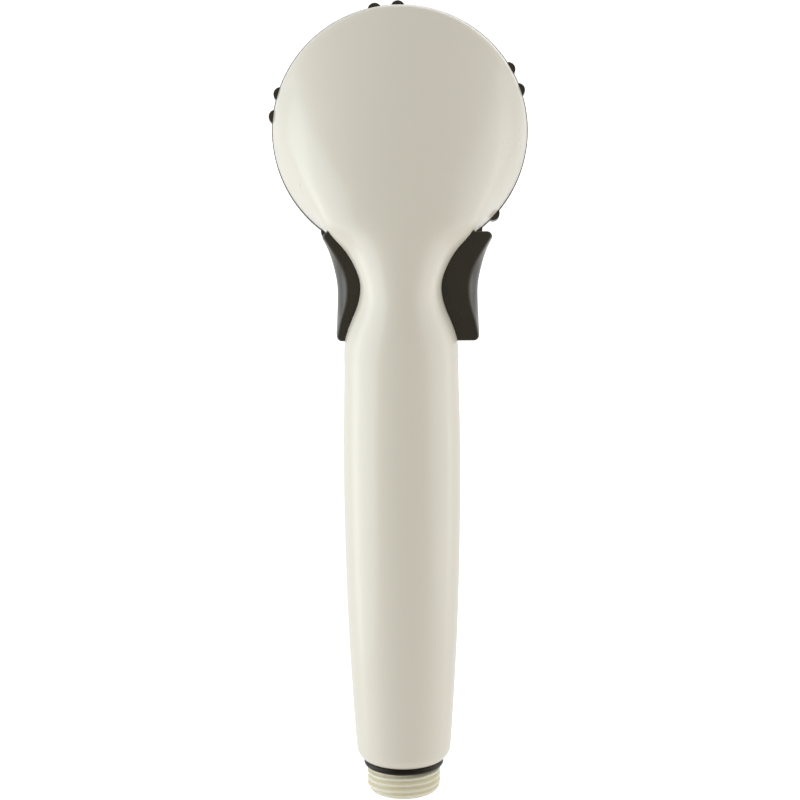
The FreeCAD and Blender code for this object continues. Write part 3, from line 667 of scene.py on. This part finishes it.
camera_data = bpy.data.cameras.new("camera")
camera_data.sensor_width = 36.0
camera_data.lens = 160.2
camera_data.shift_x = -0.002
camera_data.clip_end = 50.0
camera = bpy.data.objects.new("camera", camera_data)
bpy.context.scene.collection.objects.link(camera)
offset = Vector((0.0, -math.cos(CAMERA_ELEVATION), math.sin(CAMERA_ELEVATION))) * CAMERA_DISTANCE
look = Matrix.Rotation(math.pi / 2 - CAMERA_ELEVATION, 4, "X") @ Matrix.Rotation(CAMERA_ROLL, 4, "Z")
camera.matrix_world = Matrix.Translation(CAMERA_TARGET + offset) @ look
bpy.context.scene.camera = camera


# ---- floor and light ----
FLOOR_HALF_SIZE = 6.0
FLOOR_Z = -0.0002
AMBIENT_BELOW = 0.83
AMBIENT_ABOVE = 0.45
BEHIND_CAMERA_LEVEL = 0.25
# name, place, width, height, power and colour of each soft light
LIGHTS = (
    ("key_left", (-0.97, -0.14, 0.22), 1.35, 1.2, 8.8, (0.79, 0.90, 1.0)),
    ("strip_left", (-0.85, 0.16, 0.12), 0.06, 1.0, 0.35, (1.0, 1.0, 1.0)),
    ("fill_right", (0.95, -0.05, 0.26), 1.2, 1.2, 4.0, (0.86, 0.94, 1.0)),
    ("strip_right", (0.83, 0.22, 0.12), 0.06, 1.0, 0.25, (1.0, 1.0, 1.0)),
    ("front_soft", (0.3, 1.1, 0.6), 0.8, 0.8, 1.5, (1.0, 1.0, 1.0)),
)


def add_floor():
    """A wide pale floor under the spigot's end, which neither lights the object nor shows in its gloss."""
    mesh = bpy.data.meshes.new("studio_floor")
    shape = bmesh.new()
    bmesh.ops.create_grid(shape, x_segments=8, y_segments=8, size=FLOOR_HALF_SIZE)
    shape.to_mesh(mesh)
    shape.free()
    floor = bpy.data.objects.new("studio_floor", mesh)
    floor.location = (0, 0, FLOOR_Z)
    bpy.context.scene.collection.objects.link(floor)
    mesh.materials.append(floor_paint())
    floor.visible_diffuse = False
    floor.visible_glossy = False


def add_area(name, place, width, height, power, colour):
    """A soft rectangular light aimed at the middle of the object, and not seen itself."""
    data = bpy.data.lights.new(name, "AREA")
    data.shape = "RECTANGLE"
    data.size = width
    data.size_y = height
    data.energy = power
    data.color = colour
    light = bpy.data.objects.new(name, data)
    bpy.context.scene.collection.objects.link(light)
    light.visible_camera = False
    aim = CAMERA_TARGET - Vector(place)
    light.matrix_world = Matrix.Translation(Vector(place)) @ aim.to_track_quat("-Z", "Y").to_matrix().to_4x4()


def map_range(tree, source, low, high, at_low, at_high):
    """Carries a value from one range into another."""
    node = tree.nodes.new("ShaderNodeMapRange")
    for socket, value in (("From Min", low), ("From Max", high), ("To Min", at_low), ("To Max", at_high)):
        if isinstance(value, bpy.types.NodeSocket):
            tree.links.new(value, node.inputs[socket])
        else:
            node.inputs[socket].default_value = value
    tree.links.new(source, node.inputs["Value"])
    return node.outputs["Result"]


def add_world():
    """A surround that is white, and dimmer behind the camera, to the eye and in gloss.

    It lights matt surfaces by another level, which falls from below to above.
    """
    world = bpy.data.worlds.new("studio")
    bpy.context.scene.world = world
    world.use_nodes = True
    tree = world.node_tree
    background = tree.nodes["Background"]
    place = tree.nodes.new("ShaderNodeTexCoord")
    direction = tree.nodes.new("ShaderNodeSeparateXYZ")
    tree.links.new(place.outputs["Generated"], direction.inputs["Vector"])
    seen = map_range(tree, direction.outputs["Y"], -0.9, -0.1, BEHIND_CAMERA_LEVEL, 1.0)
    ambient = map_range(tree, direction.outputs["Z"], -0.6, 0.9, AMBIENT_BELOW, AMBIENT_ABOVE)
    rays = tree.nodes.new("ShaderNodeLightPath")
    level = map_range(tree, rays.outputs["Is Diffuse Ray"], 0.0, 1.0, seen, ambient)
    tree.links.new(level, background.inputs["Strength"])
    background.inputs["Color"].default_value = (1.0, 1.0, 1.0, 1.0)


add_floor()
add_world()
for light in LIGHTS:
    add_area(*light)
bpy.context.scene.view_settings.view_transform = "Standard"
